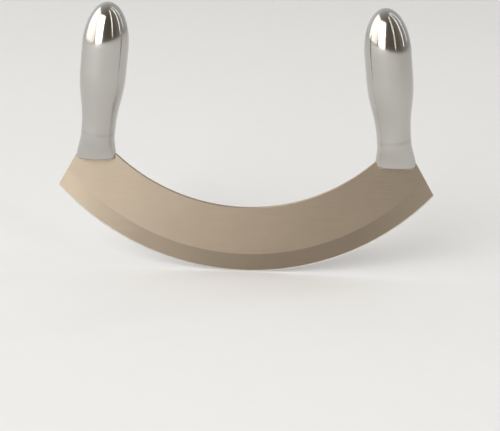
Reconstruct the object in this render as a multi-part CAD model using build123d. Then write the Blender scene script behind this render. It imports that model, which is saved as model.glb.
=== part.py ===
from build123d import *
from math import asin, cos, pi, radians, sin, sqrt, tan
import os

os.makedirs("parts", exist_ok=True)

# A mezzaluna: one curved blade with a hollow steel handle welded on each end.
# Millimetres. The blade lies in the XZ plane, its tips along X and its spine up.
# The origin is the lowest point of the cutting edge, in the middle of the knife.

# Blade, its widths taken along a radius of the cutting edge, in the middle and at a tip
edge_radius = 137.0
blade_chord = 207.8
middle_width = 37.8
end_width = 36.7
blade_thickness = 1.8
bevel_width = 10.5
sharpened_width = 0.8
sharpened_thickness = 0.5
edge_land = 0.1
end_cut_angle = 60.0
tip_round = 0.8
spine_ease = 0.15

# Root and tang, the ends of the blade inside the handles
root_height = 8.0
tang_width = 9.0
tang_length = 36.0
key_hole_diameter = 4.0
key_hole_shares = (0.25, 0.65)

# Handle, measured along its own axis from the foot of its collar
foot_rise = 16.3
foot_share = 0.54
handle_lean = 6.2
handle_length = 87.0
grip_radius = 12.5
dome_height = 24.0
belly_length = 12.0
neck_radius = 9.25
shell_wall = 1.0

# Collar, cast solid, from its flat oval foot to its round neck
collar_height = 15.0
foot_width = 22.0
foot_thickness = 11.0
foot_round = 0.8
spigot_length = 4.0
section_shares = (0.0, 0.3, 0.65, 1.0)

# Welds, ground flush
seam_width = 1.2
ring_width = 2.0
ring_depth = 0.8
fillet_leg = 1.2

# Clearance of what fits inside the grips, and how far a cutting tool runs past its work
fit_clearance = 0.05
overrun = 5.0

# Places worked out from the sizes above
tip_x = blade_chord / 2
tip_angle = asin(tip_x / edge_radius)
tip_z = edge_radius * (1 - cos(tip_angle))
spine_end_x = (edge_radius - end_width) * sin(tip_angle)
spine_end_z = edge_radius - (edge_radius - end_width) * cos(tip_angle)
spine_rise = spine_end_z - middle_width
spine_radius = (spine_end_x**2 + spine_rise**2) / (2 * spine_rise)
spine_centre = middle_width + spine_radius
end_slope = tan(radians(end_cut_angle))
foot_z = tip_z + foot_rise
foot_inner_x = sqrt(spine_radius**2 - (spine_centre - foot_z) ** 2)
foot_outer_x = tip_x - foot_rise / end_slope
foot_x = foot_inner_x + foot_share * (foot_outer_x - foot_inner_x)
shoulder_z = foot_z + root_height
dome_base = handle_length - dome_height
belly_base = dome_base - belly_length
fill_base = collar_height + spigot_length
tang_top = root_height + tang_length
arc_share = 4 * (sqrt(2) - 1) / 3
handle_place = Pos(foot_x, 0, foot_z) * Rot(0, -handle_lean, 0)


# The blade

def ground_disc():
    """A full disc with the blade's section, ground on both faces towards its edge."""
    half = blade_thickness / 2
    half_sharpened = sharpened_thickness / 2
    sharpened_start = edge_radius - sharpened_width
    grind_slope = (sharpened_thickness - edge_land) / 2 / sharpened_width
    apex = sharpened_start + half_sharpened / grind_slope
    bevel_start = edge_radius - bevel_width
    section = Polyline(
        (0, -half),
        (bevel_start, -half),
        (sharpened_start, -half_sharpened),
        (apex, 0),
        (sharpened_start, half_sharpened),
        (bevel_start, half),
        (0, half),
        close=True,
    )
    disc = revolve(make_face(section), Axis.Y)
    return Pos(0, 0, edge_radius) * disc


def crescent():
    """The blade's outline from tip to tip, cut off level at the shoulders inside the collars."""
    low_x = tip_x + (tip_z + overrun) / end_slope
    high_x = tip_x - (shoulder_z - tip_z) / end_slope
    ends = Polygon(
        (-low_x, -overrun),
        (low_x, -overrun),
        (high_x, shoulder_z),
        (-high_x, shoulder_z),
        align=None,
    )
    outline = Pos(0, edge_radius) * Circle(edge_radius)
    outline -= Pos(0, spine_centre) * Circle(spine_radius)
    outline &= ends
    tips = outline.vertices().sort_by(lambda corner: abs(corner.X))[-2:]
    return fillet(tips, tip_round)


def tang():
    """The right-hand tang, a strap up the middle of the grip with two keying holes."""
    strap = Pos(0, tang_top / 2) * SlotOverall(tang_top, tang_width, rotation=90)
    for share in key_hole_shares:
        height = fill_base + share * (tang_top - fill_base)
        strap -= Pos(0, height) * Circle(key_hole_diameter / 2)
    return strap


def make_blade():
    """The blade with both of its tangs."""
    outline = Plane.XZ * crescent()
    body = ground_disc() & extrude(outline, blade_thickness, both=True)
    spine = body.faces().filter_by(GeomType.CYLINDER).sort_by(SortBy.AREA)[-1]
    body = chamfer(spine.edges().filter_by(GeomType.CIRCLE), spine_ease)
    strap = extrude(Plane.XZ * tang(), blade_thickness / 2, both=True)
    strap = handle_place * strap
    return body + strap + mirror(strap, Plane.YZ)


# The handles, all drawn for the right-hand end

def collar_section(share):
    """One outline of the collar, from its foot at share 0 to its neck at share 1."""
    blend = (1 - cos(pi * share)) / 2
    half_width = foot_width / 2 + blend * (neck_radius - foot_width / 2)
    half_thickness = foot_thickness / 2 + blend * (neck_radius - foot_thickness / 2)
    level = Rot(0, handle_lean * (1 - share), 0)
    return Pos(0, 0, share * collar_height) * level * Ellipse(half_width, half_thickness)


def raw_collar():
    """The collar before it is slotted for the blade, with the spigot that centres the shells."""
    body = loft([collar_section(share) for share in section_shares])
    foot = body.faces().sort_by(Axis.Z)[0]
    body = fillet(foot.edges(), foot_round)
    spigot = Cylinder(
        neck_radius - shell_wall - fit_clearance,
        spigot_length,
        align=(Align.CENTER, Align.CENTER, Align.MIN),
    )
    return body + Pos(0, 0, collar_height) * spigot


def grip_outline(inset):
    """Half of the grip's outline, from its neck to the top of its dome, drawn smaller by inset."""
    neck = neck_radius - inset
    belly = grip_radius - inset
    top = handle_length - inset
    swell_middle = (collar_height + belly_base) / 2
    swell = Bezier(
        (neck, collar_height),
        (neck, swell_middle),
        (belly, swell_middle),
        (belly, belly_base),
    )
    side = Line((belly, belly_base), (belly, dome_base))
    dome = Bezier(
        (belly, dome_base),
        (belly, dome_base + arc_share * (top - dome_base)),
        (arc_share * belly, top),
        (0, top),
    )
    axis = Line((0, top), (0, collar_height))
    mouth = Line((0, collar_height), (neck, collar_height))
    return make_face([swell, side, dome, axis, mouth])


def turned(outline):
    """A half outline turned into a solid about the handle's axis."""
    return revolve(Plane.YZ * outline, Axis.Z)


def raw_shell():
    """Both half shells of a grip as one, before they are parted."""
    return turned(grip_outline(0) - grip_outline(shell_wall))


def parting(side):
    """The space in front of a grip's seam at side -1, the seam at 0, or behind it at 1."""
    reach = grip_radius + overrun
    depth = reach if side else seam_width
    block = Box(2 * reach, depth, handle_length + overrun)
    return Pos(0, side * (depth + seam_width) / 2, handle_length / 2) * block


def ring_groove():
    """The V groove round the joint of the shells and the collar."""
    rim = neck_radius + overrun
    half = ring_width / 2 * (ring_depth + overrun) / ring_depth
    section = Polyline(
        (rim, collar_height - half),
        (neck_radius - ring_depth, collar_height),
        (rim, collar_height + half),
        close=True,
    )
    return turned(make_face(section))


def filler_body():
    """The filling inside the grip, up to the base of the dome."""
    outline = grip_outline(shell_wall + fit_clearance)
    height = dome_base - fill_base
    space = Pos(0, fill_base) * Rectangle(grip_radius, height, align=(Align.MIN, Align.MIN))
    return turned(outline & space)


def fillet_bead():
    """The fillet welds between the collar's foot and the two faces of the blade."""
    face = blade_thickness / 2
    toe = face + fillet_leg
    leg = Line((face, -fillet_leg), (face, 0))
    ledge = Line((face, 0), (toe, 0))
    throat = RadiusArc((toe, 0), (face, -fillet_leg), -fillet_leg)
    section = make_face([leg, ledge, throat])
    front = extrude(Plane.YZ * section, foot_width, both=True)
    reach = Ellipse(foot_width / 2 - foot_round, foot_thickness / 2 - foot_round)
    prism = extrude(reach, -fillet_leg)
    rear = mirror(front, Plane.XZ)
    return (front & prism) + (rear & prism)


def handle_pieces(blade):
    """Every piece of the right-hand handle by name, fitted round the blade."""
    groove = ring_groove()
    collar = raw_collar()
    shell = raw_shell()
    ring = groove & (collar + shell)
    shell -= groove
    foot_level = Pos(foot_x, 0, foot_z)
    return {
        "collar": handle_place * (collar - groove) - blade,
        "grip_shell_front": handle_place * (shell & parting(-1)),
        "grip_shell_rear": handle_place * (shell & parting(1)),
        "seam_weld": handle_place * (shell & parting(0)),
        "collar_weld": handle_place * ring,
        "blade_weld": foot_level * fillet_bead(),
        "filler": handle_place * filler_body() - blade,
    }


# One file for each piece

blade = make_blade()
export_step(blade, "parts/blade.step")

for name, piece in handle_pieces(blade).items():
    export_step(piece, f"parts/right_{name}.step")
    export_step(mirror(piece, Plane.YZ), f"parts/left_{name}.step")
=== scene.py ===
"""The looks of a mezzaluna: a satin crescent blade and its two polished hollow handles."""

from math import acos, asin, cos, pi, radians, sin, sqrt, tan

import bmesh
import bpy
from bpy.props import FloatProperty, FloatVectorProperty, IntProperty, PointerProperty
from bpy.types import Operator, Panel, PropertyGroup
from mathutils import Matrix, Vector


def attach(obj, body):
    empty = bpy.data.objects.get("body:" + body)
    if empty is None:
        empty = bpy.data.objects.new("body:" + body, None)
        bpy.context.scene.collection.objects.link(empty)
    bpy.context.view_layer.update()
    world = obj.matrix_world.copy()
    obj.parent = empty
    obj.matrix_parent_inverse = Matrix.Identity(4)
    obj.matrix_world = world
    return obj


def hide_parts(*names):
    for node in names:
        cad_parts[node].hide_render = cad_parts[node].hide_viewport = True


bl_info = {
    "name": "Mezzaluna",
    "version": (1, 0, 0),
    "blender": (4, 5, 0),
    "location": "3D View > Sidebar > Mezzaluna",
    "description": "Dresses a packed mezzaluna in satin and polished steel and sets its stage",
    "category": "Object",
}

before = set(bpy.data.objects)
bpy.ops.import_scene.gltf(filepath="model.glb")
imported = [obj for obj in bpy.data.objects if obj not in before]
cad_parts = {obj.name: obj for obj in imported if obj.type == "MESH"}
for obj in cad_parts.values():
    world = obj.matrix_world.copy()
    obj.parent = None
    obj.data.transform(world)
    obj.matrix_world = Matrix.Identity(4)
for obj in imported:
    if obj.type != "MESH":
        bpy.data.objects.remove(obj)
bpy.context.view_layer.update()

BODY = "root"
SIDES = {"left": -1, "right": 1}
HALF_TURNS = {"front": pi, "rear": 0}

# How finely the meshes are divided, and where they are merged and creased
CURVE_STEPS = 48
BELLY_STEPS = 12
TANG_STEPS = 32
SEAM_STEPS = 6
ROUND_STEPS = 6
COLLAR_STEPS = 28
BEAD_STEPS = 400
HOLLOW_STEPS = 10
FLOOR_STEPS = 96
FITTING_ROUNDS = 6
BEVEL_SHARES = (0.04, 0.12, 0.3, 0.5, 0.7, 0.9, 0.975)
FLAT_SHARES = (0.01, 0.05, 0.15, 0.3, 0.45, 0.6, 0.75, 0.9, 0.985, 1.0)
MERGE_DISTANCE = 2e-6
SECTION_MERGE = 0.001
BLADE_CREASE = radians(9)
HANDLE_CREASE = radians(24)

# How far the pulls of a cubic curve reach along a quarter ellipse
ARC_SHARE = 4 * (sqrt(2) - 1) / 3

# The blade's own map for its brushed grain, and how wide and how long a line of each grain is
GRAIN_MAP = "Grain"
SATIN_GRAIN = (0.00013, 0.03)
BEVEL_GRAIN = (0.0001, 0.02)
HONED_GRAIN = (0.00005, 0.01)

# Fine scratches on satin steel, how they turn off its grain, and the soft clouds under them
SCRATCHES = (160.0, 11000.0, 1.0)
SCRATCH_TURN = (0.0, 0.0, 0.16)
CLOUDS = 28.0
# Painted shade on the bevel: darkest within the first distance from the middle, gone beyond the second, in
# metres
PAINTED_SHADE_REACH = (0.062, 0.098)

# Hairlines, haze and waves of a polishing wheel, and how deep the waves are on each piece
HAIRLINES = (9000.0, 9000.0, 300.0)
HAIRLINE_TURN = (0.3, 0.5, 0.2)
HAZE = 70.0
WAVES = 55.0
GRIP_WAVES = 3e-6
FLUSH_WAVES = 4e-6
BEAD_WAVES = 6e-6

# Lamps: name, place, width and height, power and tint. Two windows on the left brighten that end
# of the blade and whiten the domes, and three upright strips draw thin bright lines down the domes.
DAYLIGHT = (1.0, 0.985, 0.96)
SKYLIGHT = (0.96, 0.985, 1.0)
WHITE = (1.0, 1.0, 1.0)
LAMPS = (
    ("Front window", (-1.573, -2.999, 1.636), (2.327, 3.497), 58.0, SKYLIGHT),
    ("Side window", (-3.354, -0.585, 1.783), (4.641, 3.783), 45.0, DAYLIGHT),
    ("Near strip", (1.152, -1.344, 1.392), (0.056, 2.88), 1.6, WHITE),
    ("Side strip", (1.68, -0.08, 1.392), (0.064, 2.88), 1.6, WHITE),
    ("Far strip", (1.52, 0.72, 1.392), (0.064, 2.88), 1.3, WHITE),
)
LAMP_AIM = (0.0, 0.0, 0.08)
BEAM_WIDTH = radians(120)

# Camera: the width of its sensor in millimetres, and the nearest that it sees in metres
SENSOR_WIDTH = 36.0
NEAREST_SEEN = 0.01

# The world, dim and warm in front, brighter and cooler behind and towards the windows. Each spread
# gives the range of a direction and the range of what it sets: strength twice, then hue.
WORLD_STRENGTH = 0.9
WORLD_FRONT = (1.0, 0.85, 0.66, 1.0)
WORLD_REAR = (0.97, 0.98, 1.0, 1.0)
ACROSS_SPREAD = (-0.8, 0.8, 1.0, 0.6)
DEPTH_SPREAD = (-0.7, 0.8, 0.2, 1.0)
HUE_SPREAD = (-0.6, 0.5, 0.0, 1.0)


# Sizes and colours that a user would change

def length(name, description, default):
    """A length in metres, shown in the scene's own unit."""
    return FloatProperty(
        name=name, description=description, default=default, min=0, unit="LENGTH", precision=5
    )


def slope(name, description, default):
    """An angle, given in degrees and kept in radians."""
    return FloatProperty(
        name=name, description=description, default=radians(default), subtype="ANGLE"
    )


def share(name, description, default):
    """A share of something, from 0 to 1."""
    return FloatProperty(
        name=name, description=description, default=default, min=0, max=1, subtype="FACTOR"
    )


def count(name, description, default):
    """A number of steps."""
    return IntProperty(name=name, description=description, default=default, min=1)


def colour(name, description, default):
    """A linear colour, as the shader takes it."""
    return FloatVectorProperty(
        name=name, description=description, default=default, min=0, max=1, size=3, subtype="COLOR"
    )


class BladeSizes(PropertyGroup):
    """Sizes of the crescent blade, its widths taken along a radius of the cutting edge."""

    edge_radius: length("Edge radius", "Radius of the cutting edge", 0.137)
    chord: length("Chord", "Distance from tip to tip", 0.2078)
    middle_width: length("Middle width", "Width of the blade in its middle", 0.0378)
    end_width: length("End width", "Width of the blade at its tips", 0.0367)
    thickness: length("Thickness", "Thickness of the sheet", 0.0018)
    bevel_width: length("Bevel width", "Width of the ground bevel", 0.0105)
    sharpened_width: length("Sharpened width", "Width of the honed edge", 0.0008)
    sharpened_thickness: length("Sharpened thickness", "Thickness where the honing starts", 0.0005)
    edge_land: length("Edge land", "Thickness left at the very edge", 0.0001)
    end_cut: slope("End cut", "Slope of the cut at each tip", 60)
    tip_round: length("Tip round", "Radius of the rounded tips", 0.0008)
    ease: length("Ease", "Width of the broken corners of spine and ends", 0.00015)
    root_height: length("Root height", "Height of the root inside each collar", 0.008)
    tang_width: length("Tang width", "Width of the tang inside each grip", 0.009)
    tang_length: length("Tang length", "Length of the tang above the root", 0.036)
    hole_diameter: length("Key hole diameter", "Diameter of the two keying holes in a tang", 0.004)
    low_hole: share("Low key hole", "Place of the lower hole up the filled part of a tang", 0.25)
    high_hole: share("High key hole", "Place of the upper hole up the filled part of a tang", 0.65)
    columns: count("Columns", "Mesh columns from the middle to a tip", 110)


class HandleSizes(PropertyGroup):
    """Sizes of a handle, its heights taken along its own axis from the foot of its collar."""

    foot_rise: length("Foot rise", "Height of the collar's foot above the blade's tip", 0.0163)
    foot_share: share("Foot share", "Place of the foot across the blade's end, from inside", 0.54)
    lean: slope("Lean", "Lean of the handle towards the middle of the knife", 6.2)
    length: length("Length", "Length from the foot to the top of the dome", 0.087)
    grip_radius: length("Grip radius", "Radius of the belly of the grip", 0.0125)
    dome_height: length("Dome height", "Height of the dome", 0.024)
    belly_length: length("Belly length", "Length of the straight belly below the dome", 0.012)
    neck_radius: length("Neck radius", "Radius where the grip meets its collar", 0.00925)
    wall: length("Wall", "Thickness of the stamped half shells", 0.001)
    collar_height: length("Collar height", "Height of the cast collar", 0.015)
    foot_width: length("Foot width", "Width of the collar's foot along the blade", 0.022)
    foot_thickness: length("Foot thickness", "Thickness of the collar's foot", 0.011)
    foot_round: length("Foot round", "Radius round the collar's foot", 0.0008)
    spigot_length: length("Spigot length", "How far the collar reaches into the grip", 0.004)
    fit_clearance: length("Fit clearance", "Room round the spigot inside the grip", 0.00005)
    seam_width: length("Seam width", "Width of the weld between the half shells", 0.0012)
    ring_width: length("Ring width", "Width of the weld round the neck", 0.002)
    ring_depth: length("Ring depth", "Depth of the weld round the neck", 0.0008)
    fillet_leg: length("Fillet leg", "Leg of the weld between collar and blade", 0.0012)
    ripple_pitch: length("Ripple pitch", "Distance between the ripples of that weld", 0.0009)
    ripple_share: share("Ripple share", "How far a ripple swells that weld", 0.06)
    steps: count("Steps", "Mesh steps round half a handle", 96)


class Finishes(PropertyGroup):
    """Colours and roughness of the steels."""

    # The blade's colour holds a painted reflection: it is darker and browner than bare satin steel
    blade_colour_and_painted_reflection: colour("Blade colour", "Satin blade steel", (0.445, 0.362, 0.276))
    # The honed edge's colour is partly a painted highlight: brighter than honed steel, to draw a bright line
    # along the edge
    honed_colour_and_painted_highlight: colour("Honed colour", "Bright steel of the honed edge", (0.78, 0.74, 0.68))
    handle_colour: colour("Handle colour", "Polished handle steel", (0.53, 0.515, 0.485))
    weld_colour: colour("Weld colour", "Ground weld metal", (0.49, 0.475, 0.445))
    filler_colour: colour("Filler colour", "Filling inside the grips", (0.42, 0.40, 0.36))
    # Painted shade: how far the colour in the middle of the bevel is darkened
    painted_bevel_shade: share("Bevel shade", "How bright the middle of the bevel is beside the flat", 0.74)
    satin_roughness: share("Satin roughness", "Roughness of the blade's flat", 0.44)
    bevel_roughness: share("Bevel roughness", "Roughness of the ground bevel", 0.38)
    honed_roughness: share("Honed roughness", "Roughness of the honed edge", 0.22)
    polish_roughness: share("Polish roughness", "Roughness of the polished handles", 0.10)
    flush_roughness: share("Flush weld roughness", "Roughness of the welds ground flush", 0.16)
    bead_roughness: share("Bead roughness", "Roughness of the fillet welds", 0.28)


class StageSettings(PropertyGroup):
    """Camera and floor."""

    camera_place: FloatVectorProperty(
        name="Camera place",
        description="Where the camera stands",
        default=(0.06156, -0.73338, 0.28372),
        subtype="TRANSLATION",
        unit="LENGTH",
    )
    camera_pitch: slope("Camera pitch", "How far the camera looks up from level", -18.813)
    camera_heading: slope("Camera heading", "How far the camera turns left of straight ahead", 4.555)
    camera_roll: slope("Camera roll", "Roll of the camera", 0.5)
    lens: FloatProperty(
        name="Lens", description="Focal length", default=100.8, min=1, unit="CAMERA"
    )
    floor_colour: colour("Floor colour", "Pale floor", (0.83, 0.83, 0.825))
    floor_radius: length("Floor radius", "Radius of the round floor", 4.0)


# Steps from the sizes to the shapes

class BladeShape:
    """The blade's places, worked out from its sizes."""

    def __init__(self, blade, handle):
        self.blade = blade
        self.tip_x = blade.chord / 2
        self.tip_angle = asin(self.tip_x / blade.edge_radius)
        self.tip_z = blade.edge_radius * (1 - cos(self.tip_angle))
        end_ring = blade.edge_radius - blade.end_width
        end_x = end_ring * sin(self.tip_angle)
        rise = blade.edge_radius - end_ring * cos(self.tip_angle) - blade.middle_width
        self.spine_radius = (end_x**2 + rise**2) / (2 * rise)
        spine_centre = blade.middle_width + self.spine_radius
        self.spine_offset = spine_centre - blade.edge_radius
        foot_z = self.tip_z + handle.foot_rise
        inner_x = sqrt(self.spine_radius**2 - (spine_centre - foot_z) ** 2)
        outer_x = self.tip_x - handle.foot_rise / tan(blade.end_cut)
        self.foot = (inner_x + handle.foot_share * (outer_x - inner_x), foot_z)
        self.shoulder_z = foot_z + blade.root_height
        self.round_ring = blade.edge_radius - blade.tip_round
        self.round_angle = self.cut_angle(self.round_ring, blade.tip_round)
        x, z = self.point(self.round_ring, self.round_angle)
        x += blade.tip_round * sin(blade.end_cut)
        z += blade.tip_round * cos(blade.end_cut)
        self.touch_ring = sqrt(x**2 + (blade.edge_radius - z) ** 2)

    def point(self, ring, angle):
        """(x, z) at a distance from the centre of the edge's circle and an angle off straight down."""
        return ring * sin(angle), self.blade.edge_radius - ring * cos(angle)

    def spine_ring(self, angle):
        """Distance of the spine from the centre of the edge's circle, at an angle."""
        offset = self.spine_offset
        return sqrt(self.spine_radius**2 - (offset * sin(angle)) ** 2) - offset * cos(angle)

    def cut_angle(self, ring, inset=0):
        """Where a ring meets the slanted cut at the right-hand tip, or a line inset from it."""
        blade = self.blade
        reach = self.tip_x * sin(blade.end_cut) + self.tip_z * cos(blade.end_cut) - inset
        return acos((blade.edge_radius * cos(blade.end_cut) - reach) / ring) - blade.end_cut

    def end_angle(self, ring):
        """Where a ring ends on the right: at the rounded tip, the slanted cut or the shoulder."""
        blade = self.blade
        if ring > self.touch_ring:
            span = ring**2 + self.round_ring**2 - blade.tip_round**2
            return self.round_angle + acos(min(span / (2 * ring * self.round_ring), 1))
        shoulder = (blade.edge_radius - self.shoulder_z) / ring
        return min(self.cut_angle(ring), acos(min(shoulder, 1)))

    def rows(self):
        """The half thickness of each row of the mesh, and its ring as a rule of the angle."""
        blade = self.blade
        full = blade.thickness / 2
        honed = blade.sharpened_thickness / 2
        ground = blade.bevel_width - blade.sharpened_width
        rows = [
            (blade.edge_land / 2, self.ring_in(0)),
            ((blade.edge_land / 2 + honed) / 2, self.ring_in(blade.sharpened_width / 2)),
            (honed, self.ring_in(blade.sharpened_width)),
        ]
        for part in BEVEL_SHARES:
            depth = blade.sharpened_width + part * ground
            rows.append((honed + part * (full - honed), self.ring_in(depth)))
        rows.append((full, self.ring_in(blade.bevel_width)))
        rows += [(full, self.ring_up(part)) for part in FLAT_SHARES]
        rows.append((full - blade.ease, self.spine_ring))
        return rows

    def ring_in(self, depth):
        """The rule of a row at a depth in from the edge."""
        return lambda angle: self.blade.edge_radius - depth

    def ring_up(self, part):
        """The rule of a row part of the way from the bevel to the eased corner of the spine."""
        blade = self.blade
        start = blade.edge_radius - blade.bevel_width
        return lambda angle: start + part * (self.spine_ring(angle) + blade.ease - start)

    def place(self, rule, across, inset):
        """(x, z) on a row at a share of the way from the middle to a line inset from its end."""
        end = self.tip_angle
        for _ in range(FITTING_ROUNDS):
            end = self.end_angle(rule(end))
        angle = across * (end - inset / rule(end))
        return self.point(rule(angle), angle)


def arc(centre, radius, start, sweep, steps):
    """Points along an arc, both ends with it."""
    x, y = centre
    angles = [start + sweep * step / steps for step in range(steps + 1)]
    return [(x + radius * cos(angle), y + radius * sin(angle)) for angle in angles]


def circle(centre, radius, steps):
    """Points round a circle."""
    return arc(centre, radius, 0, 2 * pi, steps)[:-1]


def bezier(start, start_pull, end_pull, end):
    """Points of a cubic curve, both ends with it."""
    points = []
    for step in range(CURVE_STEPS + 1):
        t = step / CURVE_STEPS
        weights = ((1 - t) ** 3, 3 * t * (1 - t) ** 2, 3 * t * t * (1 - t), t**3)
        corners = (start, start_pull, end_pull, end)
        points.append(tuple(sum(w * c[axis] for w, c in zip(weights, corners)) for axis in (0, 1)))
    return points


def grip_profile(handle, inset=0):
    """(radius, height) points of the grip from its neck to the top of its dome."""
    neck = handle.neck_radius - inset
    belly = handle.grip_radius - inset
    top = handle.length - inset
    dome_base = handle.length - handle.dome_height
    belly_base = dome_base - handle.belly_length
    middle = (handle.collar_height + belly_base) / 2
    knee = dome_base + ARC_SHARE * (top - dome_base)
    swell = bezier((neck, handle.collar_height), (neck, middle), (belly, middle), (belly, belly_base))
    dome = bezier((belly, dome_base), (belly, knee), (ARC_SHARE * belly, top), (0, top))
    heights = [belly_base + part / BELLY_STEPS * handle.belly_length for part in range(1, BELLY_STEPS)]
    return swell + [(belly, height) for height in heights] + dome


def place_on(points, axis, value):
    """The first place on a line through points where one of its axes rises past a value."""
    for start, end in zip(points, points[1:]):
        if start[axis] <= value <= end[axis] and start[axis] < end[axis]:
            part = (value - start[axis]) / (end[axis] - start[axis])
            return tuple(first + part * (second - first) for first, second in zip(start, end))
    raise ValueError("no point of the line lies at this value")


def handle_place(side):
    """The matrix that stands a handle drawn upright at the origin on its end of the blade."""
    scene = bpy.context.scene
    foot_x, foot_z = BladeShape(scene.mezzaluna_blade, scene.mezzaluna_handle).foot
    lean = Matrix.Rotation(-side * scene.mezzaluna_handle.lean, 4, "Y")
    return Matrix.Translation((side * foot_x, 0, foot_z)) @ lean


# Meshes

def finish_mesh(mesh, crease=HANDLE_CREASE):
    """Merges what meets, turns every face outwards and shades it smooth up to the crease angle."""
    work = bmesh.new()
    work.from_mesh(mesh)
    bmesh.ops.remove_doubles(work, verts=work.verts, dist=MERGE_DISTANCE)
    bmesh.ops.recalc_face_normals(work, faces=work.faces)
    work.to_mesh(mesh)
    work.free()
    mesh.shade_smooth()
    mesh.set_sharp_from_angle(angle=crease)
    mesh.update()


def add_pair(name, rings, node, material, closed=False):
    """Skins rings drawn on an upright handle and adds the piece at both ends of the blade."""
    for side_name, side in SIDES.items():
        mesh = skin(f"{side_name}_{name}", rings, closed)
        mesh.transform(Matrix.Diagonal((side, 1, 1, 1)) @ handle_place(1))
        finish_mesh(mesh)
        add_piece(f"{side_name}_{name}", mesh, f"{side_name}_{node}", [material])


def join_meshes(mesh, other):
    """Adds another mesh to a mesh."""
    work = bmesh.new()
    work.from_mesh(mesh)
    work.from_mesh(other)
    work.to_mesh(mesh)
    work.free()


def skin(name, rings, closed=False):
    """A mesh through rings of as many points each, its ends filled, or its last ring its first."""
    around = len(rings[0])
    points = [point for ring in rings for point in ring]
    faces = []
    for row in range(len(rings) - 1):
        here = row * around
        there = here + around
        for corner in range(around):
            after = (corner + 1) % around
            faces.append((here + corner, here + after, there + after, there + corner))
    if not closed:
        last = (len(rings) - 1) * around
        faces.append(tuple(reversed(range(around))))
        faces.append(tuple(range(last, last + around)))
    mesh = bpy.data.meshes.new(name)
    mesh.from_pydata(points, [], faces)
    return mesh


def add_piece(name, mesh, node, materials=()):
    """Puts a finished mesh in the scene as the piece that stands for a CAD node."""
    for material in materials:
        mesh.materials.append(material)
    piece = bpy.data.objects.new(name, mesh)
    bpy.context.scene.collection.objects.link(piece)
    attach(piece, BODY)
    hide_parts(node)


# Node trees

class Wiring:
    """A node tree that is being put together."""

    def __init__(self, tree):
        self.tree = tree

    def add(self, kind, inputs=None, **settings):
        """A new node with its settings, its inputs set or linked by name or number."""
        node = self.tree.nodes.new(kind)
        for name, value in settings.items():
            setattr(node, name, value)
        for socket, value in (inputs or {}).items():
            self.plug(node.inputs[socket], value)
        return node

    def plug(self, socket, value):
        """Links an output to an input, or sets the input to a plain value."""
        if isinstance(value, bpy.types.NodeSocket):
            self.tree.links.new(value, socket)
        else:
            socket.default_value = value

    def math(self, operation, first, second=0.0, third=0.0):
        """The outcome of a sum on up to three numbers."""
        return self.add("ShaderNodeMath", {0: first, 1: second, 2: third}, operation=operation).outputs[0]

    def spread(self, value, low, high, to_low, to_high):
        """A number stretched from one range to another, and kept within it."""
        stretch = {"Value": value, "From Min": low, "From Max": high, "To Min": to_low, "To Max": to_high}
        return self.add("ShaderNodeMapRange", stretch).outputs[0]

    def combine(self, x, y, z):
        """A vector from three numbers."""
        return self.add("ShaderNodeCombineXYZ", {"X": x, "Y": y, "Z": z}).outputs[0]

    def split(self, vector):
        """The three numbers of a vector."""
        return self.add("ShaderNodeSeparateXYZ", {0: vector}).outputs

    def scaled(self, vector, factor):
        """A vector or colour times another, or times a number."""
        return self.add("ShaderNodeVectorMath", {0: vector, 1: factor}, operation="MULTIPLY").outputs[0]

    def noise(self, vector, scale, detail, **settings):
        """A noise from 0 to 1 over a vector."""
        inputs = {"Vector": vector, "Scale": scale, "Detail": detail}
        return self.add("ShaderNodeTexNoise", inputs, **settings).outputs["Fac"]

    def line(self, start, end):
        """A straight curve between two places."""
        return self.add("GeometryNodeCurvePrimitiveLine", {"Start": start, "End": end}).outputs[0]

    def bend(self, *inputs):
        """A cubic curve from its steps, its start, the two pulls on it and its end."""
        names = ("Resolution", "Start", "Start Handle", "End Handle", "End")
        return self.add("GeometryNodeCurvePrimitiveBezierSegment", dict(zip(names, inputs))).outputs[0]

    def closed_section(self, parts, merge):
        """One closed curve from loose ones that meet at their ends."""
        loose = self.add("GeometryNodeJoinGeometry")
        for part in parts:
            self.tree.links.new(part, loose.inputs[0])
        wire = self.add("GeometryNodeCurveToMesh", {"Curve": loose.outputs[0]}).outputs[0]
        wire = self.add("GeometryNodeMergeByDistance", {"Geometry": wire, "Distance": merge}).outputs[0]
        return self.add("GeometryNodeMeshToCurve", {"Mesh": wire}).outputs[0]

    def divided(self, curve, steps):
        """A curve divided evenly."""
        return self.add("GeometryNodeResampleCurve", {"Curve": curve, "Count": steps}).outputs[0]

    def kept(self, geometry, kind, value):
        """Geometry with a value captured on it, and that value."""
        node = self.add("GeometryNodeCaptureAttribute", {"Geometry": geometry})
        node.capture_items.new(kind, "Kept")
        self.plug(node.inputs["Kept"], value)
        return node.outputs[0], node.outputs["Kept"]

    def swept(self, path, section):
        """A section carried along a path, its ends filled."""
        inputs = {"Curve": path, "Profile Curve": section, "Fill Caps": True}
        return self.add("GeometryNodeCurveToMesh", inputs).outputs[0]

    def placed(self, geometry, position):
        """Geometry with its points moved to new places."""
        return self.add("GeometryNodeSetPosition", {"Geometry": geometry, "Position": position}).outputs[0]

    def finish(self, geometry, material):
        """Makes instances real, sets the material and hands the geometry out."""
        real = self.add("GeometryNodeRealizeInstances", {"Geometry": geometry}).outputs[0]
        done = self.add("GeometryNodeSetMaterial", {"Geometry": real, "Material": material}).outputs[0]
        self.add("NodeGroupOutput", {"Geometry": done})


def geometry_tree(name, values):
    """A geometry tree with an input for each named value, its wiring and those inputs."""
    kinds = {float: "NodeSocketFloat", int: "NodeSocketInt"}
    tree = bpy.data.node_groups.new(name, "GeometryNodeTree")
    tree.interface.new_socket("Geometry", in_out="OUTPUT", socket_type="NodeSocketGeometry")
    for socket, value in values.items():
        kind = kinds.get(type(value), "NodeSocketMaterial")
        tree.interface.new_socket(socket, in_out="INPUT", socket_type=kind)
    wiring = Wiring(tree)
    return tree, wiring, wiring.add("NodeGroupInput").outputs


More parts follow.
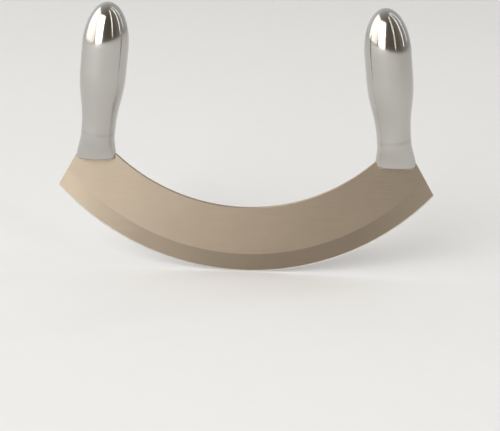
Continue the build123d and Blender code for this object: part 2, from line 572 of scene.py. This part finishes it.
def evaluated_mesh(name, tree, values):
    """The plain mesh that a geometry tree makes from these values of its inputs."""
    carrier = bpy.data.objects.new(name, bpy.data.meshes.new(name))
    bpy.context.scene.collection.objects.link(carrier)
    modifier = carrier.modifiers.new(name, "NODES")
    modifier.node_group = tree
    for item in tree.interface.items_tree:
        if item.in_out == "INPUT":
            modifier[item.identifier] = values[item.name]
    depsgraph = bpy.context.evaluated_depsgraph_get()
    mesh = bpy.data.meshes.new_from_object(carrier.evaluated_get(depsgraph))
    mesh.name = name
    bpy.data.objects.remove(carrier)
    return mesh


def shell_tree(values):
    """Turns a shell's closed section about the handle's axis, from one seam to the other."""
    tree, wiring, given = geometry_tree("Grip half shell", values)
    sums = wiring.math
    steps = given["Curve Steps"]
    mouth_z = given["Collar Height"]
    belly_z = given["Belly Base"]
    dome_z = given["Dome Base"]

    def wall_side(inset):
        """Mouth and top of the section at an inset from the outside, and the curves between."""
        neck = sums("SUBTRACT", given["Neck Radius"], inset)
        belly = sums("SUBTRACT", given["Grip Radius"], inset)
        top_z = sums("SUBTRACT", given["Top"], inset)
        middle = sums("MULTIPLY", sums("ADD", mouth_z, belly_z), 0.5)
        knee = sums("MULTIPLY_ADD", sums("SUBTRACT", top_z, dome_z), ARC_SHARE, dome_z)
        mouth = wiring.combine(neck, mouth_z, 0.0)
        low = wiring.combine(belly, belly_z, 0.0)
        high = wiring.combine(belly, dome_z, 0.0)
        top = wiring.combine(0.0, top_z, 0.0)
        swell = wiring.bend(
            steps, mouth, wiring.combine(neck, middle, 0.0), wiring.combine(belly, middle, 0.0), low
        )
        shoulder = wiring.combine(sums("MULTIPLY", belly, ARC_SHARE), top_z, 0.0)
        dome = wiring.bend(steps, high, wiring.combine(belly, knee, 0.0), shoulder, top)
        return mouth, top, swell, wiring.line(low, high), dome

    mouth, top, swell, side, dome = wall_side(0.0)
    inner_mouth, inner_top, inner_swell, inner_side, inner_dome = wall_side(given["Wall"])
    cut = given["Ring Half Width"]
    sample = {"Curves": swell, "Length": cut}
    lip = wiring.add("GeometryNodeSampleCurve", sample, mode="LENGTH").outputs["Position"]
    trim = {"Curve": swell, "Start_001": cut, "End_001": 1.0}
    swell = wiring.add("GeometryNodeTrimCurve", trim, mode="LENGTH").outputs[0]
    groove = wiring.combine(sums("SUBTRACT", given["Neck Radius"], given["Ring Depth"]), mouth_z, 0.0)
    parts = [swell, side, dome, wiring.line(top, inner_top), inner_dome, inner_side, inner_swell]
    parts += [wiring.line(inner_mouth, groove), wiring.line(groove, lip)]
    section = wiring.closed_section(parts, MERGE_DISTANCE)

    place = wiring.add("GeometryNodeInputPosition").outputs[0]
    section, across = wiring.kept(section, "VECTOR", place)
    path = wiring.divided(wiring.line((0.0, 0.0, 0.0), (0.0, 0.1, 0.0)), given["Turn Steps"])
    along = wiring.add("GeometryNodeSplineParameter").outputs["Factor"]
    path, turn = wiring.kept(path, "FLOAT", along)

    seam = given["Seam Half Width"]
    spot = wiring.split(across)
    radius = sums("MAXIMUM", spot["X"], seam)
    start = sums("ARCSINE", sums("DIVIDE", seam, radius))
    sweep = sums("SUBTRACT", pi, sums("MULTIPLY", start, 2.0))
    angle = sums("MULTIPLY_ADD", turn, sweep, start)
    turned = wiring.combine(
        sums("MULTIPLY", radius, sums("COSINE", angle)),
        sums("MULTIPLY", radius, sums("SINE", angle)),
        spot["Y"],
    )
    wiring.finish(wiring.placed(wiring.swept(path, section), turned), given["Material"])
    return tree


def bead_tree(values):
    """Runs a rippled fillet weld along the foot of a collar, thinning out at both ends."""
    tree, wiring, given = geometry_tree("Fillet weld", values)
    sums = wiring.math
    reach = sums("DIVIDE", given["Face"], given["Half Width"])
    cut = sums("SQRT", sums("SUBTRACT", 1.0, sums("MULTIPLY", reach, reach)))
    half = sums("MULTIPLY", given["Half Length"], cut)
    start = wiring.combine(sums("MULTIPLY", half, -1.0), 0.0, 0.0)
    path = wiring.divided(wiring.line(start, wiring.combine(half, 0.0, 0.0)), given["Length Steps"])
    place = wiring.add("GeometryNodeInputPosition").outputs[0]
    path, along = wiring.kept(path, "VECTOR", place)

    leg = (0.0, -1.0, 0.0)
    root = (0.0, 0.0, 0.0)
    toe = (1.0, 0.0, 0.0)
    pulls = (1 - ARC_SHARE, 0.0, 0.0), (0.0, ARC_SHARE - 1, 0.0)
    hollow = wiring.bend(given["Hollow Steps"], toe, *pulls, leg)
    section = wiring.closed_section([wiring.line(leg, root), wiring.line(root, toe), hollow], SECTION_MERGE)
    section, across = wiring.kept(section, "VECTOR", place)

    spot = wiring.split(across)
    x = wiring.split(along)["X"]
    part = sums("DIVIDE", x, given["Half Length"])
    edge = sums("SQRT", sums("MAXIMUM", sums("SUBTRACT", 1.0, sums("MULTIPLY", part, part)), 0.0))
    room = sums("MULTIPLY_ADD", edge, given["Half Width"], sums("MULTIPLY", given["Face"], -1.0))
    limit = sums("MINIMUM", sums("DIVIDE", room, given["Leg"]), 1.0)
    wave = sums("SINE", sums("MULTIPLY", sums("DIVIDE", x, given["Ripple Pitch"]), 2 * pi))
    ripple = sums("MULTIPLY_ADD", wave, given["Ripple Share"], sums("SUBTRACT", 1.0, given["Ripple Share"]))
    size = sums("MULTIPLY", sums("MULTIPLY", limit, ripple), given["Leg"])
    shaped = wiring.combine(
        x, sums("MULTIPLY_ADD", spot["X"], size, given["Face"]), sums("MULTIPLY", spot["Y"], size)
    )
    wiring.finish(wiring.placed(wiring.swept(path, section), shaped), given["Material"])
    return tree


# Finishes

def new_material(name):
    """A material with an empty tree, its wiring and its surface shader."""
    material = bpy.data.materials.new(name)
    material.use_nodes = True
    material.node_tree.nodes.clear()
    wiring = Wiring(material.node_tree)
    shader = wiring.add("ShaderNodeBsdfPrincipled")
    wiring.add("ShaderNodeOutputMaterial", {"Surface": shader.outputs[0]})
    return material, wiring, shader


def set_bump(wiring, shader, height, depth, strength=1.0):
    """Raises the surface by a height from 0 to 1 of a depth in metres."""
    bump = wiring.add("ShaderNodeBump", {"Strength": strength, "Distance": depth, "Height": height})
    wiring.plug(shader.inputs["Normal"], bump.outputs[0])


def satin_steel(name, tint, roughness, grain_size, painted_middle_shade=1.0):
    """Brushed steel with its grain along the blade's map; a painted shade can darken its middle."""
    material, wiring, shader = new_material(name)
    wide, long = grain_size
    grain_map = wiring.add("ShaderNodeUVMap", uv_map=GRAIN_MAP).outputs[0]
    drawn = wiring.scaled(grain_map, (1 / long, 1 / wide, 1.0))
    grain = wiring.noise(drawn, 1.0, 3.0, noise_dimensions="2D")
    turned = wiring.add("ShaderNodeMapping", {"Vector": grain_map, "Rotation": SCRATCH_TURN}).outputs[0]
    nicks = wiring.noise(wiring.scaled(turned, SCRATCHES), 1.0, 1.0, noise_dimensions="2D")
    scratch = wiring.spread(nicks, 0.68, 0.76, 0.0, 1.0)
    place = wiring.add("ShaderNodeTexCoord").outputs["Object"]
    cloud = wiring.noise(place, CLOUDS, 3.0)
    lightness = wiring.math(
        "MULTIPLY", wiring.spread(grain, 0.3, 0.7, 0.93, 1.05), wiring.spread(cloud, 0.3, 0.7, 0.95, 1.04)
    )
    lightness = wiring.math("MULTIPLY", lightness, wiring.spread(scratch, 0.0, 1.0, 1.0, 1.12))
    # Painted shade: the colour darkens towards the middle of the blade, standing in for a darker reflection
    # there
    if painted_middle_shade < 1:
        reach = wiring.math("ABSOLUTE", wiring.split(place)["X"])
        painted_shade = wiring.spread(reach, *PAINTED_SHADE_REACH, painted_middle_shade, 1.0)
        lightness = wiring.math("MULTIPLY", lightness, painted_shade)
    wiring.plug(shader.inputs["Base Color"], wiring.scaled(tint, lightness))
    rough = wiring.math(
        "ADD",
        wiring.spread(grain, 0.3, 0.7, roughness - 0.04, roughness + 0.04),
        wiring.spread(cloud, 0.3, 0.7, -0.03, 0.03),
    )
    rough = wiring.math("ADD", rough, wiring.spread(scratch, 0.0, 1.0, 0.0, -0.06))
    wiring.plug(shader.inputs["Roughness"], rough)
    shader.inputs["Metallic"].default_value = 1.0
    shader.inputs["Anisotropic"].default_value = 0.9
    shader.inputs["Anisotropic Rotation"].default_value = 0.25
    tangent = wiring.add("ShaderNodeTangent", direction_type="UV_MAP", uv_map=GRAIN_MAP)
    wiring.plug(shader.inputs["Tangent"], tangent.outputs[0])
    set_bump(wiring, shader, grain, 1.2e-6)
    return material


def polished_steel(name, tint, roughness, wave_depth):
    """Steel polished on a wheel: faint waves, hairlines and the haze of handling."""
    material, wiring, shader = new_material(name)
    place = wiring.add("ShaderNodeTexCoord").outputs["Object"]
    waves = wiring.noise(place, WAVES, 1.0)
    haze = wiring.noise(place, HAZE, 4.0)
    drawing = {"Vector": place, "Rotation": HAIRLINE_TURN, "Scale": HAIRLINES}
    hairs = wiring.noise(wiring.add("ShaderNodeMapping", drawing).outputs[0], 1.0, 2.0)
    wiring.plug(shader.inputs["Base Color"], wiring.scaled(tint, wiring.spread(haze, 0.35, 0.7, 0.97, 1.02)))
    rough = wiring.math(
        "ADD",
        wiring.spread(haze, 0.45, 0.7, roughness, roughness + 0.05),
        wiring.spread(hairs, 0.55, 0.75, 0.0, 0.04),
    )
    wiring.plug(shader.inputs["Roughness"], rough)
    shader.inputs["Metallic"].default_value = 1.0
    set_bump(wiring, shader, waves, wave_depth)
    return material


def grainy(name, tint, scale, shades, roughness, depth):
    """A matt grainy stuff, such as a cast filling or a paper floor."""
    material, wiring, shader = new_material(name)
    place = wiring.add("ShaderNodeTexCoord").outputs["Object"]
    grain = wiring.noise(place, scale, 4.0)
    wiring.plug(shader.inputs["Base Color"], wiring.scaled(tint, wiring.spread(grain, 0.3, 0.7, *shades)))
    wiring.plug(shader.inputs["Roughness"], wiring.spread(grain, 0.3, 0.7, *roughness))
    shader.inputs["Specular IOR Level"].default_value = 0.2
    set_bump(wiring, shader, grain, depth, 0.5)
    return material


# The operators, one for each piece or group of like pieces

class MEZZALUNA_OT_blade(Operator):
    """Makes the crescent blade with its ground bevel, honed edge, roots and tangs"""

    bl_idname = "mezzaluna.blade"
    bl_label = "Blade"

    def execute(self, context):
        blade = context.scene.mezzaluna_blade
        handle = context.scene.mezzaluna_handle
        looks = context.scene.mezzaluna_finishes
        shape = BladeShape(blade, handle)
        columns = range(-blade.columns, blade.columns + 1)
        rings = [self.section(shape, -1, 0)]
        rings += [self.section(shape, column / blade.columns, blade.ease) for column in columns]
        rings.append(self.section(shape, 1, 0))
        mesh = skin("blade", rings)
        tang = self.tang(blade, handle)
        for side in SIDES.values():
            placed = tang.copy()
            placed.transform(handle_place(side))
            join_meshes(mesh, placed)
        finish_mesh(mesh, BLADE_CREASE)
        self.lay_grain(mesh, blade)
        # This tint holds a painted brown reflection as well as the steel's own colour
        tint = looks.blade_colour_and_painted_reflection
        materials = [
            satin_steel("Satin blade", tint, looks.satin_roughness, SATIN_GRAIN),
            satin_steel("Ground bevel", tint, looks.bevel_roughness, BEVEL_GRAIN, looks.painted_bevel_shade),
            satin_steel("Honed edge", looks.honed_colour_and_painted_highlight, looks.honed_roughness, HONED_GRAIN),
        ]
        add_piece("satin_blade", mesh, "blade", materials)
        return {"FINISHED"}

    def section(self, shape, across, inset):
        """One ring round the blade's section, its corners broken where it is the very end."""
        front = []
        rear = []
        for half, rule in shape.rows():
            x, z = shape.place(rule, across, inset)
            if inset == 0:
                half = max(half - shape.blade.ease, half / 2)
            front.append((x, -half, z))
            rear.append((x, half, z))
        return front + rear[::-1]

    def tang(self, blade, handle):
        """The strap that stands up inside a grip, with its two keying holes."""
        outline = bpy.data.curves.new("tang", "CURVE")
        outline.dimensions = "2D"
        outline.fill_mode = "BOTH"
        outline.extrude = blade.thickness / 2
        half = blade.tang_width / 2
        foot = blade.root_height / 2
        top = blade.root_height + blade.tang_length
        low = handle.collar_height + handle.spigot_length
        loops = [[(half, foot)] + arc((0, top - half), half, 0, pi, TANG_STEPS) + [(-half, foot)]]
        for part in (blade.low_hole, blade.high_hole):
            loops.append(circle((0, low + part * (top - low)), blade.hole_diameter / 2, TANG_STEPS))
        for loop in loops:
            spline = outline.splines.new("POLY")
            spline.points.add(len(loop) - 1)
            for point, (x, y) in zip(spline.points, loop):
                point.co = (x, y, 0, 1)
            spline.use_cyclic_u = True
        carrier = bpy.data.objects.new("tang", outline)
        mesh = bpy.data.meshes.new_from_object(carrier)
        bpy.data.objects.remove(carrier)
        mesh.transform(Matrix.Rotation(pi / 2, 4, "X"))
        return mesh

    def lay_grain(self, mesh, blade):
        """Lays the grain, which follows the arc on the honed edge only, and parts the finishes."""
        grain = mesh.uv_layers.new(name=GRAIN_MAP)
        centre = Vector((0, 0, blade.edge_radius))
        for face in mesh.polygons:
            middle = face.center - centre
            depth = blade.edge_radius - sqrt(middle.x**2 + middle.z**2)
            face.material_index = (depth < blade.bevel_width) + (depth < blade.sharpened_width)
            for corner in face.loop_indices:
                place = mesh.vertices[mesh.loops[corner].vertex_index].co - centre
                grain.data[corner].uv = (place.x, place.z)
                if depth < blade.sharpened_width:
                    ring = sqrt(place.x**2 + place.z**2)
                    grain.data[corner].uv = (asin(place.x / ring) * blade.edge_radius, -ring)


class MEZZALUNA_OT_shells(Operator):
    """Makes the front and rear half shells of both grips"""

    bl_idname = "mezzaluna.shells"
    bl_label = "Grip shells"

    def execute(self, context):
        handle = context.scene.mezzaluna_handle
        looks = context.scene.mezzaluna_finishes
        steel = polished_steel("Polished grip", looks.handle_colour, looks.polish_roughness, GRIP_WAVES)
        dome_base = handle.length - handle.dome_height
        values = {
            "Neck Radius": handle.neck_radius,
            "Grip Radius": handle.grip_radius,
            "Wall": handle.wall,
            "Collar Height": handle.collar_height,
            "Belly Base": dome_base - handle.belly_length,
            "Dome Base": dome_base,
            "Top": handle.length,
            "Ring Half Width": handle.ring_width / 2,
            "Ring Depth": handle.ring_depth,
            "Seam Half Width": handle.seam_width / 2,
            "Curve Steps": CURVE_STEPS,
            "Turn Steps": handle.steps,
            "Material": steel,
        }
        tree = shell_tree(values)
        for side_name, side in SIDES.items():
            for half_name, turn in HALF_TURNS.items():
                name = f"{side_name}_{half_name}_shell"
                mesh = evaluated_mesh(name, tree, values)
                mesh.transform(handle_place(side) @ Matrix.Rotation(turn, 4, "Z"))
                finish_mesh(mesh)
                add_piece(name, mesh, f"{side_name}_grip_shell_{half_name}")
        return {"FINISHED"}


class MEZZALUNA_OT_seams(Operator):
    """Makes the ground welds between the half shells, from neck over the dome to neck"""

    bl_idname = "mezzaluna.seams"
    bl_label = "Seam welds"

    def execute(self, context):
        handle = context.scene.mezzaluna_handle
        looks = context.scene.mezzaluna_finishes
        steel = polished_steel("Ground seam", looks.weld_colour, looks.flush_roughness, FLUSH_WAVES)
        half = handle.seam_width / 2
        places = [half * (2 * part / SEAM_STEPS - 1) for part in range(SEAM_STEPS + 1)]
        outer = [self.strip(handle, 0, y) for y in places]
        inner = [self.strip(handle, handle.wall, y) for y in places]
        rings = []
        for step in range(len(outer[0])):
            rings.append([line[step] for line in outer] + [line[step] for line in inner[::-1]])
        add_pair("ground_seam", rings, "seam_weld", steel)
        return {"FINISHED"}

    def strip(self, handle, inset, y):
        """The line that a plane at y cuts from the grip, from neck over the dome to neck."""
        profile = grip_profile(handle, inset)
        lip = handle.collar_height + handle.ring_width / 2
        crown = place_on(profile[::-1], 0, abs(y))
        kept = [place_on(profile, 1, lip)]
        for radius, height in profile:
            if height > lip:
                kept.append((radius, height) if radius > abs(y) else crown)
        right = [(sqrt(max(radius**2 - y**2, 0)), y, height) for radius, height in kept]
        return right + [(-x, y, z) for x, y, z in right[::-1]]


class MEZZALUNA_OT_collars(Operator):
    """Makes the cast collars between the grips and the blade"""

    bl_idname = "mezzaluna.collars"
    bl_label = "Collars"

    def execute(self, context):
        handle = context.scene.mezzaluna_handle
        looks = context.scene.mezzaluna_finishes
        tint = looks.handle_colour
        steel = polished_steel("Polished collar", tint, looks.polish_roughness, GRIP_WAVES)
        around = 2 * handle.steps
        rings = []
        for step in range(ROUND_STEPS + 1):
            angle = pi / 2 * step / ROUND_STEPS
            rise = handle.foot_round * (1 - cos(angle))
            rings.append(self.ring(handle, rise, handle.foot_round * (1 - sin(angle))))
        neck = handle.collar_height - handle.ring_width / 2
        for step in range(1, COLLAR_STEPS + 1):
            rise = handle.foot_round + step / COLLAR_STEPS * (neck - handle.foot_round)
            rings.append(self.ring(handle, rise, 0))
        root = handle.neck_radius - handle.ring_depth
        spigot = handle.neck_radius - handle.wall - handle.fit_clearance
        mouth = handle.collar_height
        for radius, height in ((root, mouth), (spigot, mouth), (spigot, mouth + handle.spigot_length)):
            rings.append([(x, y, height) for x, y in circle((0, 0), radius, around)])
        add_pair("cast_collar", rings, "collar", steel)
        return {"FINISHED"}

    def ring(self, handle, height, back):
        """One ring of the collar at a height above its foot, drawn in by back."""
        part = min(height / (handle.collar_height - handle.ring_width / 2), 1)
        blend = (1 - cos(pi * part)) / 2
        half_width = handle.foot_width / 2
        half_depth = handle.foot_thickness / 2
        half_width += blend * (handle.neck_radius - half_width) - back
        half_depth += blend * (handle.neck_radius - half_depth) - back
        level = Matrix.Translation((0, 0, height)) @ Matrix.Rotation(handle.lean * (1 - part), 4, "Y")
        spots = circle((0, 0), 1, 2 * handle.steps)
        return [tuple(level @ Vector((half_width * x, half_depth * y, 0))) for x, y in spots]


class MEZZALUNA_OT_rings(Operator):
    """Makes the ground welds between the grips and their collars"""

    bl_idname = "mezzaluna.rings"
    bl_label = "Ring welds"

    def execute(self, context):
        handle = context.scene.mezzaluna_handle
        looks = context.scene.mezzaluna_finishes
        steel = polished_steel("Ground ring", looks.weld_colour, looks.flush_roughness, FLUSH_WAVES)
        half = handle.ring_width / 2
        neck = handle.neck_radius
        middle = handle.collar_height
        lip = place_on(grip_profile(handle), 1, middle + half)[0]
        section = [
            (neck, middle - half),
            (neck, middle - half / 2),
            (neck, middle),
            ((neck + lip) / 2, middle + half / 2),
            (lip, middle + half),
            (neck - handle.ring_depth, middle),
        ]
        turns = arc((0, 0), 1, 0, 2 * pi, 2 * handle.steps)
        rings = [[(radius * x, radius * y, height) for radius, height in section] for x, y in turns]
        add_pair("ground_ring", rings, "collar_weld", steel, closed=True)
        return {"FINISHED"}


class MEZZALUNA_OT_beads(Operator):
    """Makes the fillet welds between the collars and the faces of the blade"""

    bl_idname = "mezzaluna.beads"
    bl_label = "Fillet welds"

    def execute(self, context):
        blade = context.scene.mezzaluna_blade
        handle = context.scene.mezzaluna_handle
        looks = context.scene.mezzaluna_finishes
        steel = polished_steel("Fillet weld", looks.weld_colour, looks.bead_roughness, BEAD_WAVES)
        foot_x, foot_z = BladeShape(blade, handle).foot
        values = {
            "Half Length": handle.foot_width / 2 - handle.foot_round,
            "Half Width": handle.foot_thickness / 2 - handle.foot_round,
            "Face": blade.thickness / 2,
            "Leg": handle.fillet_leg,
            "Ripple Pitch": handle.ripple_pitch,
            "Ripple Share": handle.ripple_share,
            "Length Steps": BEAD_STEPS,
            "Hollow Steps": HOLLOW_STEPS,
            "Material": steel,
        }
        tree = bead_tree(values)
        for side_name, side in SIDES.items():
            name = f"{side_name}_fillet_weld"
            mesh = evaluated_mesh(name, tree, values)
            other = mesh.copy()
            other.transform(Matrix.Rotation(pi, 4, "Z"))
            join_meshes(mesh, other)
            mesh.transform(Matrix.Translation((side * foot_x, 0, foot_z)))
            finish_mesh(mesh)
            add_piece(name, mesh, f"{side_name}_blade_weld")
        return {"FINISHED"}


class MEZZALUNA_OT_fillings(Operator):
    """Gives the fillings inside the grips their material"""

    bl_idname = "mezzaluna.fillings"
    bl_label = "Fillings"

    def execute(self, context):
        tint = context.scene.mezzaluna_finishes.filler_colour
        material = grainy("Grip filling", tint, 900.0, (0.8, 1.15), (0.7, 0.9), 0.0001)
        for side_name in SIDES:
            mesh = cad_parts[f"{side_name}_filler"].data
            mesh.materials.clear()
            mesh.materials.append(material)
        return {"FINISHED"}


class MEZZALUNA_OT_stage(Operator):
    """Sets the camera, the pale floor, the lamps and the world"""

    bl_idname = "mezzaluna.stage"
    bl_label = "Stage"

    def execute(self, context):
        settings = context.scene.mezzaluna_stage
        self.set_camera(context, settings)
        self.set_floor(context, settings)
        self.set_world(context)
        for lamp in LAMPS:
            self.add_lamp(context, *lamp)
        context.scene.view_settings.view_transform = "Standard"
        return {"FINISHED"}

    def set_camera(self, context, settings):
        """Stands the camera in front of the knife, a little to the right and above it."""
        camera = bpy.data.cameras.new("Camera")
        camera.lens = settings.lens
        camera.sensor_width = SENSOR_WIDTH
        camera.clip_start = NEAREST_SEEN
        camera.dof.use_dof = False
        stand = bpy.data.objects.new("Camera", camera)
        heading = Matrix.Rotation(settings.camera_heading, 4, "Z")
        pitch = Matrix.Rotation(pi / 2 + settings.camera_pitch, 4, "X")
        roll = Matrix.Rotation(settings.camera_roll, 4, "Z")
        stand.matrix_world = Matrix.Translation(settings.camera_place) @ heading @ pitch @ roll
        context.scene.collection.objects.link(stand)
        context.scene.camera = stand

    def set_floor(self, context, settings):
        """Lays the round pale floor that the knife's edge touches."""
        mesh = bpy.data.meshes.new("Floor")
        work = bmesh.new()
        radius = settings.floor_radius
        bmesh.ops.create_circle(work, cap_ends=True, segments=FLOOR_STEPS, radius=radius)
        work.to_mesh(mesh)
        work.free()
        mesh.materials.append(
            grainy("Studio floor", settings.floor_colour, 60.0, (0.995, 1.005), (0.88, 0.92), 0.00002)
        )
        floor = bpy.data.objects.new("Floor", mesh)
        context.scene.collection.objects.link(floor)

    def set_world(self, context):
        """A dim studio, brighter and cooler behind and towards the windows."""
        world = bpy.data.worlds.new("Studio")
        world.use_nodes = True
        world.node_tree.nodes.clear()
        wiring = Wiring(world.node_tree)
        sky = wiring.split(wiring.add("ShaderNodeTexCoord").outputs["Generated"])
        side = wiring.spread(sky["X"], *ACROSS_SPREAD)
        level = wiring.spread(sky["Y"], *DEPTH_SPREAD)
        strength = wiring.math("MULTIPLY", wiring.math("MULTIPLY", side, level), WORLD_STRENGTH)
        blend = {"Factor": wiring.spread(sky["Y"], *HUE_SPREAD), "A": WORLD_FRONT, "B": WORLD_REAR}
        hue = wiring.add("ShaderNodeMix", blend, data_type="RGBA").outputs["Result"]
        light = wiring.add("ShaderNodeBackground", {"Color": hue, "Strength": strength})
        wiring.add("ShaderNodeOutputWorld", {"Surface": light.outputs[0]})
        context.scene.world = world

    def add_lamp(self, context, name, place, size, power, tint):
        """An area lamp that faces the knife."""
        light = bpy.data.lights.new(name, "AREA")
        light.shape = "RECTANGLE"
        light.size, light.size_y = size
        light.energy = power
        light.color = tint
        light.spread = BEAM_WIDTH
        lamp = bpy.data.objects.new(name, light)
        aim = Vector(LAMP_AIM) - Vector(place)
        turn = aim.to_track_quat("-Z", "Y").to_matrix().to_4x4()
        lamp.matrix_world = Matrix.Translation(place) @ turn
        context.scene.collection.objects.link(lamp)


class MEZZALUNA_PT_panel(Panel):
    """The sidebar panel that lists the operators"""

    bl_idname = "MEZZALUNA_PT_panel"
    bl_label = "Mezzaluna"
    bl_space_type = "VIEW_3D"
    bl_region_type = "UI"
    bl_category = "Mezzaluna"

    def draw(self, context):
        for operator in OPERATORS:
            self.layout.operator(operator.bl_idname)


OPERATORS = (
    MEZZALUNA_OT_stage,
    MEZZALUNA_OT_blade,
    MEZZALUNA_OT_shells,
    MEZZALUNA_OT_seams,
    MEZZALUNA_OT_collars,
    MEZZALUNA_OT_rings,
    MEZZALUNA_OT_beads,
    MEZZALUNA_OT_fillings,
)
GROUPS = {
    "mezzaluna_blade": BladeSizes,
    "mezzaluna_handle": HandleSizes,
    "mezzaluna_finishes": Finishes,
    "mezzaluna_stage": StageSettings,
}


def register():
    """Registers the settings, the operators and the panel."""
    for name, group in GROUPS.items():
        bpy.utils.register_class(group)
        setattr(bpy.types.Scene, name, PointerProperty(type=group))
    for operator in OPERATORS:
        bpy.utils.register_class(operator)
    bpy.utils.register_class(MEZZALUNA_PT_panel)


def unregister():
    """Takes back everything that register() added."""
    bpy.utils.unregister_class(MEZZALUNA_PT_panel)
    for operator in reversed(OPERATORS):
        bpy.utils.unregister_class(operator)
    for name, group in GROUPS.items():
        delattr(bpy.types.Scene, name)
        bpy.utils.unregister_class(group)


def main():
    """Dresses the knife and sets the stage."""
    register()
    bpy.ops.mezzaluna.stage()
    bpy.ops.mezzaluna.blade()
    bpy.ops.mezzaluna.shells()
    bpy.ops.mezzaluna.seams()
    bpy.ops.mezzaluna.collars()
    bpy.ops.mezzaluna.rings()
    bpy.ops.mezzaluna.beads()
    bpy.ops.mezzaluna.fillings()


if __name__ == "__main__":
    main()
